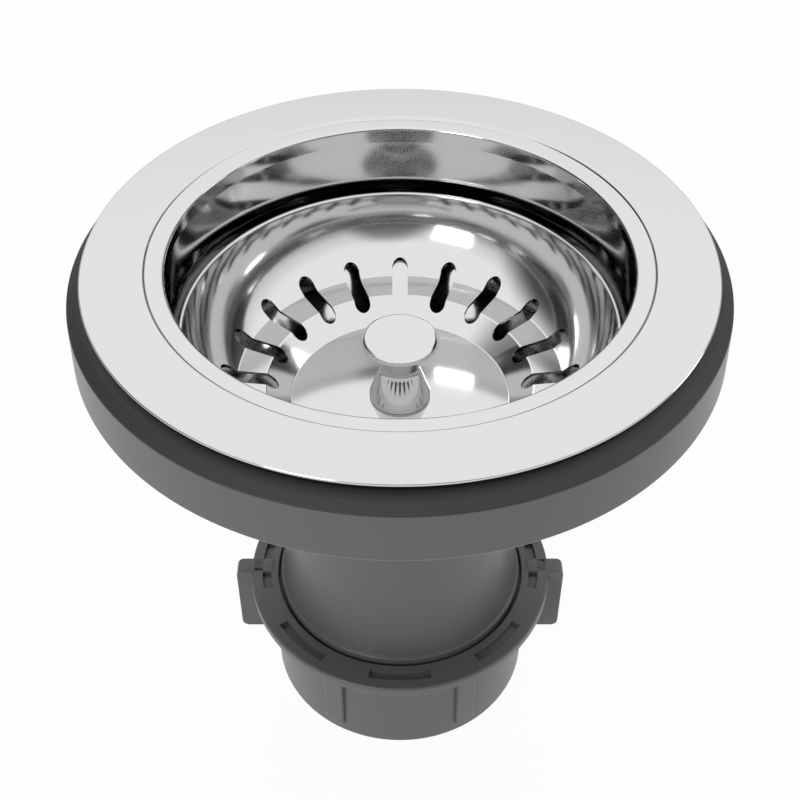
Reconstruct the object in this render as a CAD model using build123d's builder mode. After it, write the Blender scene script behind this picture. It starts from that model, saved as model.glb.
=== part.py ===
# Basket strainer waste for a 90 mm sink hole, in millimetres.
# The origin is on the axis, in the plane that the coupling nut stands on, and +Z is up.
# A name that ends in _z is a height in that frame, _r is a radius from the axis, _t is a thickness.
from build123d import *
from math import hypot, tan, atan2, pi
import os

# Clearances
curved_gap = 0.4        # between curved faces of pieces that don't move together
seat_gap = 0.3          # between a soft piece and the seat that it closes on
thread_gap = 0.3        # between a male thread and its nut, both drawn as plain cylinders
screw_gap = 0.1         # round a screw, rod or insert in its own hole
washer_gap = 0.2        # between a washer's hole and what goes through it
pipe_r = 20.0
pipe_gap = 0.5          # round the outlet pipe, in the nut, washer, seal and tail

# Roundings that several pieces share, from the crispest edge to the softest
sharp_bend = 0.1
crisp_bend = 0.2
fine_bend = 0.3
small_bend = 0.4
edge_bend = 0.5
soft_bend = 0.8
side_share = 0.98       # how much of a side its two roundings may take up

# Where one whole piece is divided into the rings that its collision needs
room_r = 80.0           # beyond every piece
bowl_split_h = 1.5      # under the neck's foot
cone_split_h = 2.5      # under the foot of the bowl's wall
floor_split_in = 1.5    # inside the edge of the bowl's floor
cup_split_h = 3.0       # above the foot of the bowl's wall
tail_split_h = 4.5      # under the body's shoulder
band_split_h = 3.2      # above the basket's crease
band_split_in = 0.8     # inside the slots' inner ends

# Steel flange, neck and bowl, pressed from one sheet
steel_t = 0.8
flange_r = 57.0
step_r = 45.7
step_depth = 0.5
step_run = 0.3
mouth_bend = 0.6
mouth_r = 42.1
kink_r = 42.65          # the fine line on the neck's wall
kink_depth = 4.1
neck_foot_r = 43.6
neck_depth = 15.4
bowl_r = 43.95
bead_h = 0.35
bowl_wall_h = 9.35      # straight wall under the neck
bowl_floor_r = 24.5
bowl_bend = 8.0         # wall to cone
floor_bend = 2.5        # cone to floor
drain_hole_r = 3.7
drain_ring_r = 14.2
drain_hole_count = 6

# Rubber between flange, sink and body
flange_seal_t = 1.4
flange_seal_r = 55.6
flange_seal_bore_r = 47.0
gasket_t = 2.1
gasket_edge_h = 0.25
gasket_edge_in = 0.1
gasket_ridge_h = 1.4
gasket_bore_r = 45.3
gasket_top_r = 56.1
gasket_ridge_r = 57.9

# Body: rim, cup, cone, tail and thread
body_t = 2.5
rim_top_r = 59.75
rim_foot_r = 60.17
rim_h = 10.0
rim_web_t = 2.5
rim_foot_bend = 0.7
rim_web_bend = 1.0
rim_root_bend = 1.5
cup_bend = 9.0
cone_bend = 5.0
rim_rib_count = 12
rim_rib_t = 2.0
rim_rib_inset = 1.6
rim_rib_start = 15.0
tail_r = 24.9
socket_depth = 25.0     # from the tail's foot to the stop for the pipe
channel_r = 19.2        # above that stop
flare_r = 26.1
flare_h = 7.5
flare_bend = 68.0
collar_r = 26.6
collar_stand = 1.3      # the collar's top above the nut's top
thread_r = 23.9
bowl_seal_t = 1.5
bowl_seal_r = 23.3
bowl_seal_bore_r = 21.0

# Hub and arms inside the body's tail, with its brass insert and the fixing screw
hub_r = 9.0
hub_floor_t = 3.0
arm_count = 3
arm_start = 90.0
arm_t = 3.0
arm_drop = 2.5          # the arms' top below the hub's top
insert_r = 7.0
insert_h = 10.0
centre_seal_t = 1.2
centre_seal_r = 8.5
screw_washer_t = 1.0
screw_washer_r = 9.0
screw_r = 5.0
screw_head_r = 8.0
screw_head_h = 3.0
screw_tip = 1.0         # what stands out under the hub
screw_point = 0.6       # chamfer at its foot
screw_end_t = 4.5       # solid end under the stem's bore

# Basket
basket_t = 0.6
basket_rim_r = 41.5
basket_bead_r = 0.45
basket_rim_depth = 15.3
basket_h = 19.7         # rim to centre plate
crease_r = 31.8
crease_h = 4.7          # above the centre plate
crease_bend = 0.6
waist_out = 7.33        # the wall's corner, out from the crease and above it
waist_up = 5.52
waist_bend = 22.5
ledge_r = 26.1
ledge_h = 4.0
plate_r = 21.5
slot_count = 20
slot_w = 3.3
slot_outer_r = 34.8
slot_inner_r = 23.8

# Knob, stem and plug
knob_r = 7.3
knob_disc_t = 1.7
knob_h = 15.2
knob_dome = 0.25
knob_edge_in = 0.6
knob_edge_h = 0.5
knob_foot_h = 0.5
knob_foot_bend = 0.9
knob_neck_bend = 6.0
knob_under_h = 0.7      # the slope under the disc
knob_top_neck_r = 3.5
knob_neck_r = 3.75
knob_neck_h = 7.4
knob_foot_r = 6.1
knob_bore_h = 10.7
stem_r = 2.5
stem_bore_r = 2.9
stem_tail = 12.7        # below its nut
clip_groove_r = 2.0
clip_groove_h = 1.4
clip_groove_rise = 4.5  # from the stem's foot to the groove
clip_t = 0.6
clip_h = 1.2
clip_gap_angle = 50.0
plug_plate_t = 1.0
plug_plate_r = 12.0
plug_hub_t = 3.5
plug_top_r = 12.5
plug_room_r = 9.5
plug_lip_r = 21.7
plug_lip_w = 2.4
plug_lip_h = 1.6
plug_shoulder_bend = 1.5
plug_room_bend = 1.0
seal_washer_t = 1.0
seal_washer_r = 7.5
stem_nut_h = 3.2
stem_nut_flats = 8.0
stop_gap = 0.2          # between the stem's nut and the screw's head

# Coupling nut, its washer and its seal
nut_depth = 87.8        # the nut's top below the flange's top
nut_h = 27.5
nut_top_r = 28.0
nut_foot_r = 28.5
nut_flange_r = 33.3
nut_flange_t = 2.5
nut_lip_t = 4.0
nut_flange_bend = 0.6
nut_foot_bend = 1.2
recess_r = 27.2
recess_h = 2.1
recess_floor_gap = 0.3
wing_r = 36.8
wing_h = 19.6
wing_t = 4.0
wing_corner = 1.6
wing_root = 3.0         # where a wing starts, out from the nut's bore
rib_w = 4.6
rib_r = 29.3
rib_h = 21.4
rib_corner = 0.8
rib_end = 0.5
rib_root = 3.0
rib_angles = (60, 120, 240, 300)
nut_slot_count = 8
nut_slot_inner_r = 28.9
nut_slot_outer_r = 30.9
nut_slot_angle = 25.0
nut_slot_depth = 1.0
slip_washer_t = 1.5
slip_washer_r = 23.8
cone_seal_h = 4.0
cone_seal_base_h = 1.2
cone_seal_r = 23.6
cone_seal_tip_r = 21.7
cone_seal_entry = 1.5   # how far the cone reaches into the tail

pipe_way_r = pipe_r + pipe_gap

# Heights, from the nut's foot upwards and from the flange downwards
flange_z = nut_depth + nut_h
flange_foot_z = flange_z - steel_t
gasket_top_z = flange_foot_z - flange_seal_t
rim_top_z = gasket_top_z - gasket_t
rim_foot_z = rim_top_z - rim_h
rim_web_z = rim_top_z - rim_web_t
neck_foot_z = flange_z - neck_depth
bowl_top_z = neck_foot_z - bead_h
bowl_wall_z = bowl_top_z - bowl_wall_h
basket_rim_z = flange_z - basket_rim_depth
plate_z = basket_rim_z - basket_h
knob_top_z = plate_z + knob_h
plug_plate_z = plate_z - basket_t - plug_plate_t
plug_hub_z = plug_plate_z - plug_hub_t
seal_washer_z = plug_hub_z - seal_washer_t
stem_nut_z = seal_washer_z - stem_nut_h
screw_top_z = stem_nut_z - stop_gap
screw_seat_z = screw_top_z - screw_head_h
bowl_floor_z = screw_seat_z - screw_washer_t
plug_foot_z = bowl_floor_z + seat_gap
bowl_foot_z = bowl_floor_z - steel_t
shoulder_z = bowl_foot_z - bowl_seal_t
hub_top_z = bowl_foot_z - centre_seal_t
hub_foot_z = hub_top_z - insert_h - hub_floor_t
stem_foot_z = stem_nut_z - stem_tail
screw_foot_z = hub_foot_z - screw_tip
nut_top_z = nut_h
recess_z = nut_top_z - recess_h
collar_top_z = nut_top_z + collar_stand
collar_foot_z = recess_z + recess_floor_gap
slip_washer_z = nut_lip_t
cone_seal_z = slip_washer_z + slip_washer_t
cone_tip_z = cone_seal_z + cone_seal_h
tail_foot_z = cone_tip_z - cone_seal_entry
pipe_stop_z = tail_foot_z + socket_depth


def offset_path(points, distance):
    """Shift an open path of (radius, height) points to the left of its direction of travel."""
    runs = []
    for (r0, z0), (r1, z1) in zip(points, points[1:]):
        length = hypot(r1 - r0, z1 - z0)
        shift = ((z0 - z1) / length * distance, (r1 - r0) / length * distance)
        runs.append((r0 + shift[0], z0 + shift[1], r1 - r0, z1 - z0))
    shifted = [runs[0][:2]]
    for (r0, z0, dr0, dz0), (r1, z1, dr1, dz1) in zip(runs, runs[1:]):
        along = ((r1 - r0) * dz1 - (z1 - z0) * dr1) / (dr0 * dz1 - dz0 * dr1)
        shifted.append((r0 + dr0 * along, z0 + dz0 * along))
    r0, z0, dr0, dz0 = runs[-1]
    shifted.append((r0 + dr0, z0 + dz0))
    return shifted


def radius_at(start, end, z):
    """Radius of the line through two (radius, height) points at a height."""
    return start[0] + (end[0] - start[0]) * (z - start[1]) / (end[1] - start[1])


def height_at(start, end, r):
    """Height of the line through two (radius, height) points at a radius."""
    return start[1] + (end[1] - start[1]) * (r - start[0]) / (end[0] - start[0])


def turn_at(before, corner, after):
    """Angle by which a path turns at a corner, positive to the left."""
    heading = atan2(corner[1] - before[1], corner[0] - before[0])
    next_heading = atan2(after[1] - corner[1], after[0] - corner[0])
    return (next_heading - heading + pi) % (2 * pi) - pi


def fitted_bends(points, bends):
    """Limit the rounding at each corner of a closed outline to what its two sides have room for."""
    count = len(points)
    reach = []
    for i in range(count):
        turn = turn_at(points[i - 1], points[i], points[(i + 1) % count])
        reach.append(bends[i] * tan(abs(turn) / 2))
    share = [1.0] * count
    for i in range(count):
        j = (i + 1) % count
        side = hypot(points[j][0] - points[i][0], points[j][1] - points[i][1])
        if reach[i] + reach[j] > side_share * side:
            limit = side_share * side / (reach[i] + reach[j])
            share[i] = min(share[i], limit)
            share[j] = min(share[j], limit)
    return [bend * part for bend, part in zip(bends, share)]


def ring_section(corners):
    """Draw a closed section from (radius, height, rounding) corners."""
    points = [(r, z) for r, z, _ in corners]
    bends = fitted_bends(points, [bend for _, _, bend in corners])
    with BuildLine() as outline:
        FilletPolyline(*points, radius=bends, close=True)
    make_face(outline.edges())


def sheet_section(corners, thickness):
    """Draw the section of a pressed sheet whose upper face follows the corners, inwards and down."""
    upper = [(r, z) for r, z, _ in corners]
    lower = offset_path(upper, thickness)
    bends = [bend for _, _, bend in corners]
    lower_bends = [0.0]
    for i in range(1, len(upper) - 1):
        turn = turn_at(upper[i - 1], upper[i], upper[i + 1])
        lower_bends.append(max(bends[i] - thickness, sharp_bend) if turn > 0 else bends[i] + thickness)
    lower_bends.append(0.0)
    under = [(r, z, bend) for (r, z), bend in zip(lower, lower_bends)]
    ring_section(list(corners) + under[::-1])


def ring_of(whole, name, low_z, high_z, inner_r=0.0, outer_r=room_r):
    """Take the ring between two heights and two radii out of a whole piece, as a solid of its own."""
    with BuildPart() as ring:
        add(whole.part)
        with BuildSketch(Plane.XY.offset(low_z)):
            Circle(outer_r)
            if inner_r:
                Circle(inner_r, mode=Mode.SUBTRACT)
        extrude(amount=high_z - low_z, mode=Mode.INTERSECT)
    ring.part.label = name
    return ring


# The steel bowl's inner face below the neck, which the body's cup and cone run beside
bowl_line = [
    (bowl_r, bowl_top_z),
    (bowl_r, bowl_wall_z),
    (bowl_floor_r, bowl_floor_z),
    (0.0, bowl_floor_z),
]
cup_inner = offset_path(bowl_line, steel_t + curved_gap)
cup_outer = offset_path(bowl_line, steel_t + curved_gap + body_t)

# Flange, step, neck and bowl in one pressing, with the drain holes in the floor
with BuildPart() as pressing:
    with BuildSketch(Plane.XZ):
        sheet_section([
            (flange_r, flange_z, 0.0),
            (step_r + step_run / 2, flange_z, small_bend),
            (step_r - step_run / 2, flange_z - step_depth, small_bend),
            (mouth_r, flange_z - step_depth, mouth_bend),
            (kink_r, flange_z - kink_depth, edge_bend),
            (neck_foot_r, neck_foot_z, fine_bend),
            (bowl_r, bowl_top_z, fine_bend),
            (bowl_r, bowl_wall_z, bowl_bend),
            (bowl_floor_r, bowl_floor_z, floor_bend),
            (screw_r + washer_gap, bowl_floor_z, 0.0),
        ], steel_t)
    revolve(axis=Axis.Z)
    fillet(pressing.edges().filter_by(GeomType.CIRCLE).sort_by(SortBy.RADIUS)[-2:], fine_bend)
    with BuildSketch(Plane.XY.offset(bowl_floor_z)):
        with PolarLocations(drain_ring_r, drain_hole_count):
            Circle(drain_hole_r)
    extrude(amount=-2 * steel_t, mode=Mode.SUBTRACT)

bowl_split_z = bowl_top_z - bowl_split_h
cone_split_z = bowl_wall_z - cone_split_h
floor_split_r = bowl_floor_r - floor_split_in
sink_flange = ring_of(pressing, "sink_flange", bowl_split_z, flange_z)
bowl_wall = ring_of(pressing, "bowl_wall", cone_split_z, bowl_split_z)
bowl_cone = ring_of(pressing, "bowl_cone", bowl_foot_z, cone_split_z, inner_r=floor_split_r)
bowl_floor = ring_of(pressing, "bowl_floor", bowl_foot_z, cone_split_z, outer_r=floor_split_r)

# Thin ring between the flange and the sink
with BuildPart() as flange_seal:
    with BuildSketch(Plane.XZ):
        ring_section([
            (flange_seal_bore_r, gasket_top_z, 0.0),
            (flange_seal_r, gasket_top_z, fine_bend),
            (flange_seal_r, flange_foot_z, fine_bend),
            (flange_seal_bore_r, flange_foot_z, 0.0),
        ])
    revolve(axis=Axis.Z)
flange_seal.part.label = "flange_seal"

# Thick gasket under the sink, with a sloping outer face that has one ridge
with BuildPart() as sink_gasket:
    with BuildSketch(Plane.XZ):
        ring_section([
            (gasket_bore_r, rim_top_z, fine_bend),
            (rim_top_r, rim_top_z, sharp_bend),
            (rim_top_r - gasket_edge_in, rim_top_z + gasket_edge_h, crisp_bend),
            (gasket_ridge_r, rim_top_z + gasket_ridge_h, soft_bend),
            (gasket_top_r, gasket_top_z, edge_bend),
            (gasket_bore_r, gasket_top_z, fine_bend),
        ])
    revolve(axis=Axis.Z)
sink_gasket.part.label = "sink_gasket"

# Body, in one moulding: rim with ribs under it, cup, cone, flared tail, collar and thread
cone_taper = (cone_seal_r - cone_seal_tip_r) / (cone_seal_h - cone_seal_base_h)
tail_mouth_r = cone_seal_tip_r + cone_taper * cone_seal_entry + curved_gap
tail_mouth_h = (tail_mouth_r - pipe_way_r) / cone_taper
cup_outer_r = cup_outer[0][0]
rim_web_r = radius_at((rim_top_r, rim_top_z), (rim_foot_r, rim_foot_z), rim_web_z) - body_t
rim_rib_mid_r = (rim_web_r + cup_outer_r) / 2
with BuildPart() as moulding:
    with BuildSketch(Plane.XZ):
        ring_section([
            (cup_inner[0][0], rim_top_z, small_bend),
            (rim_top_r, rim_top_z, crisp_bend),
            (rim_foot_r, rim_foot_z, rim_foot_bend),
            (rim_foot_r - body_t, rim_foot_z, edge_bend),
            (rim_web_r, rim_web_z, rim_web_bend),
            (cup_outer_r, rim_web_z, rim_root_bend),
            (cup_outer_r, cup_outer[1][1], cup_bend),
            (tail_r, height_at(cup_outer[1], cup_outer[2], tail_r), cone_bend),
            (tail_r, collar_top_z + flare_h, flare_bend),
            (flare_r, collar_top_z, crisp_bend),
            (collar_r, collar_top_z, small_bend),
            (collar_r, collar_foot_z, fine_bend),
            (thread_r, collar_foot_z, crisp_bend),
            (thread_r, tail_foot_z, small_bend),
            (tail_mouth_r, tail_foot_z, 0.0),
            (pipe_way_r, tail_foot_z + tail_mouth_h, 0.0),
            (pipe_way_r, pipe_stop_z, 0.0),
            (channel_r, pipe_stop_z, fine_bend),
            (channel_r, shoulder_z, small_bend),
            (radius_at(cup_inner[1], cup_inner[2], shoulder_z), shoulder_z, 0.0),
            (cup_inner[1][0], cup_inner[1][1], bowl_bend + steel_t),
        ])
    revolve(axis=Axis.Z)
    with BuildSketch(Plane.XY.offset(rim_foot_z + rim_rib_inset)):
        with PolarLocations(rim_rib_mid_r, rim_rib_count, start_angle=rim_rib_start):
            Rectangle(rim_web_r - cup_outer_r + body_t, rim_rib_t)
    extrude(amount=rim_web_z - rim_foot_z - rim_rib_inset + rim_web_t / 2)

cup_split_z = bowl_wall_z + cup_split_h
tail_split_z = shoulder_z - tail_split_h
waste_rim = ring_of(moulding, "waste_rim", rim_foot_z, rim_top_z, inner_r=cup_outer_r)
waste_cup = ring_of(moulding, "waste_cup", cup_split_z, rim_top_z, outer_r=cup_outer_r)
waste_cone = ring_of(moulding, "waste_cone", tail_split_z, cup_split_z)
waste_tail = ring_of(moulding, "waste_tail", tail_foot_z, tail_split_z)

# The body's hub, on arms that end at the tail's wall
with BuildPart() as waste_hub:
    with BuildSketch(Plane.XY.offset(hub_foot_z)):
        Circle(hub_r)
        with PolarLocations((hub_r + channel_r) / 2, arm_count, start_angle=arm_start):
            Rectangle(channel_r - hub_r + arm_t, arm_t)
        Circle(channel_r, mode=Mode.INTERSECT)
    extrude(amount=hub_top_z - arm_drop - hub_foot_z)
    with BuildSketch(Plane.XY.offset(hub_top_z - arm_drop)):
        Circle(hub_r)
    extrude(amount=arm_drop)
    with BuildSketch(Plane.XY.offset(hub_top_z)):
        Circle(insert_r + screw_gap)
    extrude(amount=-insert_h, mode=Mode.SUBTRACT)
    with BuildSketch(Plane.XY.offset(hub_foot_z)):
        Circle(screw_r + washer_gap)
    extrude(amount=hub_floor_t, mode=Mode.SUBTRACT)
waste_hub.part.label = "waste_hub"

# Flat ring between the steel bowl and the body's shoulder
with BuildPart() as bowl_seal:
    with BuildSketch(Plane.XY.offset(shoulder_z)):
        Circle(bowl_seal_r)
        Circle(bowl_seal_bore_r, mode=Mode.SUBTRACT)
    extrude(amount=bowl_seal_t)
bowl_seal.part.label = "bowl_seal"

# Washer of rubber between the bowl's floor and the hub
with BuildPart() as centre_seal:
    with BuildSketch(Plane.XY.offset(hub_top_z)):
        Circle(centre_seal_r)
        Circle(screw_r + washer_gap, mode=Mode.SUBTRACT)
    extrude(amount=centre_seal_t)
centre_seal.part.label = "centre_seal"

# Brass insert in the hub
with BuildPart() as threaded_insert:
    with BuildSketch(Plane.XY.offset(hub_top_z - insert_h)):
        Circle(insert_r)
        Circle(screw_r + screw_gap, mode=Mode.SUBTRACT)
    extrude(amount=insert_h)
threaded_insert.part.label = "threaded_insert"

# Washer under the fixing screw's head
with BuildPart() as screw_washer:
    with BuildSketch(Plane.XY.offset(bowl_floor_z)):
        Circle(screw_washer_r)
        Circle(screw_r + washer_gap, mode=Mode.SUBTRACT)
    extrude(amount=screw_washer_t)
screw_washer.part.label = "screw_washer"

# Hollow fixing screw, whose bore takes the basket's stem
with BuildPart() as fixing_screw:
    with BuildSketch(Plane.XY.offset(screw_seat_z)):
        RegularPolygon(screw_head_r, 6)
    extrude(amount=screw_head_h)
    with BuildSketch(Plane.XY.offset(screw_foot_z)):
        Circle(screw_r)
    extrude(amount=screw_seat_z - screw_foot_z)
    with BuildSketch(Plane.XY.offset(screw_foot_z + screw_end_t)):
        Circle(stem_bore_r)
    extrude(amount=screw_top_z - screw_foot_z - screw_end_t, mode=Mode.SUBTRACT)
    chamfer(fixing_screw.faces().sort_by(Axis.Z)[0].edges(), screw_point)
    chamfer(fixing_screw.faces().sort_by(Axis.Z)[-1].edges().filter_by(GeomType.CIRCLE), fine_bend)
fixing_screw.part.label = "fixing_screw"

# Basket with its rolled rim and its ring of slots
crease_z = plate_z + crease_h
with BuildPart() as pressed_basket:
    with BuildSketch(Plane.XZ):
        sheet_section([
            (basket_rim_r - basket_bead_r - basket_t / 2, basket_rim_z - basket_bead_r, 0.0),
            (crease_r + waist_out, crease_z + waist_up, waist_bend),
            (crease_r, crease_z, crease_bend),
            (ledge_r, plate_z + ledge_h, soft_bend),
            (plate_r, plate_z, small_bend),
            (stem_r + washer_gap, plate_z, 0.0),
        ], basket_t)
        with Locations((basket_rim_r - basket_bead_r, basket_rim_z - basket_bead_r)):
            Circle(basket_bead_r)
    revolve(axis=Axis.Z)
    with BuildSketch(Plane.XY.offset(plate_z - 2 * basket_t)):
        with PolarLocations((slot_outer_r + slot_inner_r) / 2, slot_count):
            SlotOverall(slot_outer_r - slot_inner_r, slot_w)
    extrude(amount=basket_h, mode=Mode.SUBTRACT)

band_split_z = crease_z + band_split_h
band_split_r = slot_inner_r - band_split_in
basket_foot_z = plate_z - basket_t
basket = ring_of(pressed_basket, "basket", band_split_z, basket_rim_z)
basket_band = ring_of(pressed_basket, "basket_band", basket_foot_z, band_split_z, inner_r=band_split_r)
basket_floor = ring_of(pressed_basket, "basket_floor", basket_foot_z, band_split_z, outer_r=band_split_r)

# Knob: disc, neck and flared foot, turned in one piece
with BuildPart() as knob:
    with BuildSketch(Plane.XZ):
        ring_section([
            (0.0, knob_top_z, 0.0),
            (knob_r - knob_edge_in, knob_top_z - knob_dome, edge_bend),
            (knob_r, knob_top_z - knob_dome - knob_edge_h, small_bend),
            (knob_r, knob_top_z - knob_disc_t, small_bend),
            (knob_top_neck_r, knob_top_z - knob_disc_t - knob_under_h, soft_bend),
            (knob_neck_r, plate_z + knob_neck_h, knob_neck_bend),
            (knob_foot_r, plate_z + knob_foot_h, knob_foot_bend),
            (knob_foot_r - fine_bend, plate_z, fine_bend),
            (stem_r + screw_gap, plate_z, 0.0),
            (stem_r + screw_gap, plate_z + knob_bore_h, 0.0),
            (0.0, plate_z + knob_bore_h, 0.0),
        ])
    revolve(axis=Axis.Z)
knob.part.label = "knob"

# Rod from the knob down into the fixing screw, with a groove for its clip
stem_top_z = plate_z + knob_bore_h - screw_gap
clip_groove_z = stem_foot_z + clip_groove_rise
with BuildPart() as basket_stem:
    with BuildSketch(Plane.XZ):
        ring_section([
            (0.0, stem_foot_z, 0.0),
            (stem_r, stem_foot_z, soft_bend),
            (stem_r, clip_groove_z, 0.0),
            (clip_groove_r, clip_groove_z, 0.0),
            (clip_groove_r, clip_groove_z + clip_groove_h, 0.0),
            (stem_r, clip_groove_z + clip_groove_h, 0.0),
            (stem_r, stem_top_z, small_bend),
            (0.0, stem_top_z, 0.0),
        ])
    revolve(axis=Axis.Z)
basket_stem.part.label = "basket_stem"

# Split ring in the stem's groove
with BuildPart() as stem_clip:
    with BuildSketch(Plane.XY.offset(clip_groove_z + (clip_groove_h - clip_h) / 2)):
        Circle(clip_groove_r + clip_t)
        Circle(clip_groove_r + screw_gap / 2, mode=Mode.SUBTRACT)
        with BuildLine() as opening:
            Polyline(
                (0, 0),
                (2 * stem_r, -2 * stem_r * tan(clip_gap_angle * pi / 360)),
                (2 * stem_r, 2 * stem_r * tan(clip_gap_angle * pi / 360)),
                close=True,
            )
        make_face(mode=Mode.SUBTRACT)
    extrude(amount=clip_h)
stem_clip.part.label = "stem_clip"

# Steel washer between the basket and the plug
with BuildPart() as plug_plate:
    with BuildSketch(Plane.XY.offset(plug_plate_z)):
        Circle(plug_plate_r)
        Circle(stem_r + washer_gap, mode=Mode.SUBTRACT)
    extrude(amount=plug_plate_t)
plug_plate.part.label = "plug_plate"

# Rubber plug, a bell whose lip closes on the bowl's floor outside the drain holes
with BuildPart() as plug_seal:
    with BuildSketch(Plane.XZ):
        ring_section([
            (stem_r + washer_gap, plug_plate_z, 0.0),
            (plug_top_r, plug_plate_z, plug_shoulder_bend),
            (plug_lip_r, plug_foot_z + plug_lip_h, soft_bend),
            (plug_lip_r, plug_foot_z, small_bend),
            (plug_lip_r - plug_lip_w, plug_foot_z, small_bend),
            (plug_room_r, plug_hub_z, plug_room_bend),
            (stem_r + washer_gap, plug_hub_z, 0.0),
        ])
    revolve(axis=Axis.Z)
plug_seal.part.label = "plug_seal"

# Washer and nut that hold the plug on the stem
with BuildPart() as seal_washer:
    with BuildSketch(Plane.XY.offset(seal_washer_z)):
        Circle(seal_washer_r)
        Circle(stem_r + washer_gap, mode=Mode.SUBTRACT)
    extrude(amount=seal_washer_t)
seal_washer.part.label = "seal_washer"

with BuildPart() as stem_nut:
    with BuildSketch(Plane.XY.offset(stem_nut_z)):
        RegularPolygon(stem_nut_flats / 2, 6, major_radius=False)
        Circle(stem_r + screw_gap, mode=Mode.SUBTRACT)
    extrude(amount=stem_nut_h)
stem_nut.part.label = "stem_nut"

# Coupling nut: flange with slots, wall with ribs and wings, lip round the outlet
nut_bore_r = thread_r + thread_gap
with BuildPart() as coupling_nut:
    with BuildSketch(Plane.XZ):
        ring_section([
            (recess_r, nut_top_z, fine_bend),
            (nut_flange_r, nut_top_z, edge_bend),
            (nut_flange_r, nut_top_z - nut_flange_t, nut_flange_bend),
            (nut_top_r, nut_top_z - nut_flange_t, edge_bend),
            (nut_foot_r, 0.0, nut_foot_bend),
            (pipe_way_r, 0.0, 0.0),
            (pipe_way_r, nut_lip_t, 0.0),
            (nut_bore_r, nut_lip_t, fine_bend),
            (nut_bore_r, recess_z, 0.0),
            (recess_r, recess_z, 0.0),
        ])
    revolve(axis=Axis.Z)
    with BuildSketch(Plane.XY.offset(nut_top_z - wing_h)):
        with PolarLocations((nut_bore_r + wing_root + wing_r) / 2, 2):
            Rectangle(wing_r - nut_bore_r - wing_root, wing_t)
    extrude(amount=wing_h)
    for side in (0, -1):
        fillet(coupling_nut.faces().sort_by(Axis.X)[side].edges().filter_by(Axis.Y), wing_corner)
    with BuildSketch(Plane.XY.offset(nut_top_z - nut_flange_t - rib_h)):
        for angle in rib_angles:
            with PolarLocations((nut_bore_r + rib_root + rib_r) / 2, 1, start_angle=angle):
                RectangleRounded(rib_r - nut_bore_r - rib_root, rib_w, rib_corner)
    extrude(amount=rib_h + nut_flange_t / 2)
    rib_feet = coupling_nut.faces().filter_by(Plane.XY).group_by(Axis.Z)[1]
    fillet(rib_feet.edges().filter_by(GeomType.LINE), rib_end)
    with BuildSketch(Plane.XY.offset(nut_top_z)):
        for slot in range(nut_slot_count):
            slot_start = 90 + slot * 360 / nut_slot_count - nut_slot_angle / 2
            with BuildLine():
                inner_arc = CenterArc((0, 0), nut_slot_inner_r, slot_start, nut_slot_angle)
                outer_arc = CenterArc((0, 0), nut_slot_outer_r, slot_start, nut_slot_angle)
                Line(inner_arc @ 0, outer_arc @ 0)
                Line(inner_arc @ 1, outer_arc @ 1)
            make_face()
    extrude(amount=-nut_slot_depth, mode=Mode.SUBTRACT)
coupling_nut.part.label = "coupling_nut"

# Washer on the nut's lip
with BuildPart() as slip_washer:
    with BuildSketch(Plane.XY.offset(slip_washer_z)):
        Circle(slip_washer_r)
        Circle(pipe_way_r, mode=Mode.SUBTRACT)
    extrude(amount=slip_washer_t)
slip_washer.part.label = "slip_washer"

# Cone ring between that washer and the tail's mouth
with BuildPart() as cone_seal:
    with BuildSketch(Plane.XZ):
        ring_section([
            (pipe_way_r, cone_seal_z, 0.0),
            (cone_seal_r, cone_seal_z, crisp_bend),
            (cone_seal_r, cone_seal_z + cone_seal_base_h, crisp_bend),
            (cone_seal_tip_r, cone_tip_z, crisp_bend),
            (pipe_way_r, cone_tip_z, crisp_bend),
        ])
    revolve(axis=Axis.Z)
cone_seal.part.label = "cone_seal"

os.makedirs("parts", exist_ok=True)
for piece in (
    sink_flange, bowl_wall, bowl_cone, bowl_floor, flange_seal, sink_gasket, waste_rim, waste_cup,
    waste_cone, waste_tail, waste_hub, bowl_seal, centre_seal, threaded_insert, screw_washer,
    fixing_screw, basket, basket_band, basket_floor, knob, basket_stem, stem_clip, plug_plate, plug_seal,
    seal_washer, stem_nut, coupling_nut, slip_washer, cone_seal,
):
    export_step(piece.part, f"parts/{piece.part.label}.step")
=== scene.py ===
import math

import bpy
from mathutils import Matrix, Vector


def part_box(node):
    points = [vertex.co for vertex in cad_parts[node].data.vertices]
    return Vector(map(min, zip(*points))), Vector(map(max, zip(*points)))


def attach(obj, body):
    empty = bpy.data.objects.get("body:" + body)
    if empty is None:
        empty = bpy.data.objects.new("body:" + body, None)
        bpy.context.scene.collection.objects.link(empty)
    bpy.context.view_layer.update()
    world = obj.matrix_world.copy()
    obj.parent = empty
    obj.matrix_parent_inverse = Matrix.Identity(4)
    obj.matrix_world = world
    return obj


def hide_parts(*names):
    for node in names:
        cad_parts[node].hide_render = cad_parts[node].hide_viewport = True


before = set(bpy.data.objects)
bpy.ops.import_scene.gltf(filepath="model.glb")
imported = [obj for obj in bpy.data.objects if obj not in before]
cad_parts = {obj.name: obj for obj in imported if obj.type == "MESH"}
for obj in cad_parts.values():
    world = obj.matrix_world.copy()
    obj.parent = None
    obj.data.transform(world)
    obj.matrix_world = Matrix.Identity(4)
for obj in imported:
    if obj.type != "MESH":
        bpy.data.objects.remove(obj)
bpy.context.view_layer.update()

bl_info = {
    "name": "Basket strainer waste",
    "version": (1, 0, 0),
    "blender": (4, 5, 0),
    "location": "View3D > Sidebar > Strainer",
    "description": "Models a kitchen sink's basket strainer waste and lights it for a picture",
    "category": "Object",
}

MM = 0.001

# How finely a section is spun and its roundings are divided, the last in millimetres
SPIN_STEPS = 240
SMALL_SPIN_STEPS = 160
HUB_SPIN_STEPS = 96
STEM_SPIN_STEPS = 64
ARC_ANGLE = math.radians(14)
ARC_LENGTH = 0.8

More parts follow.
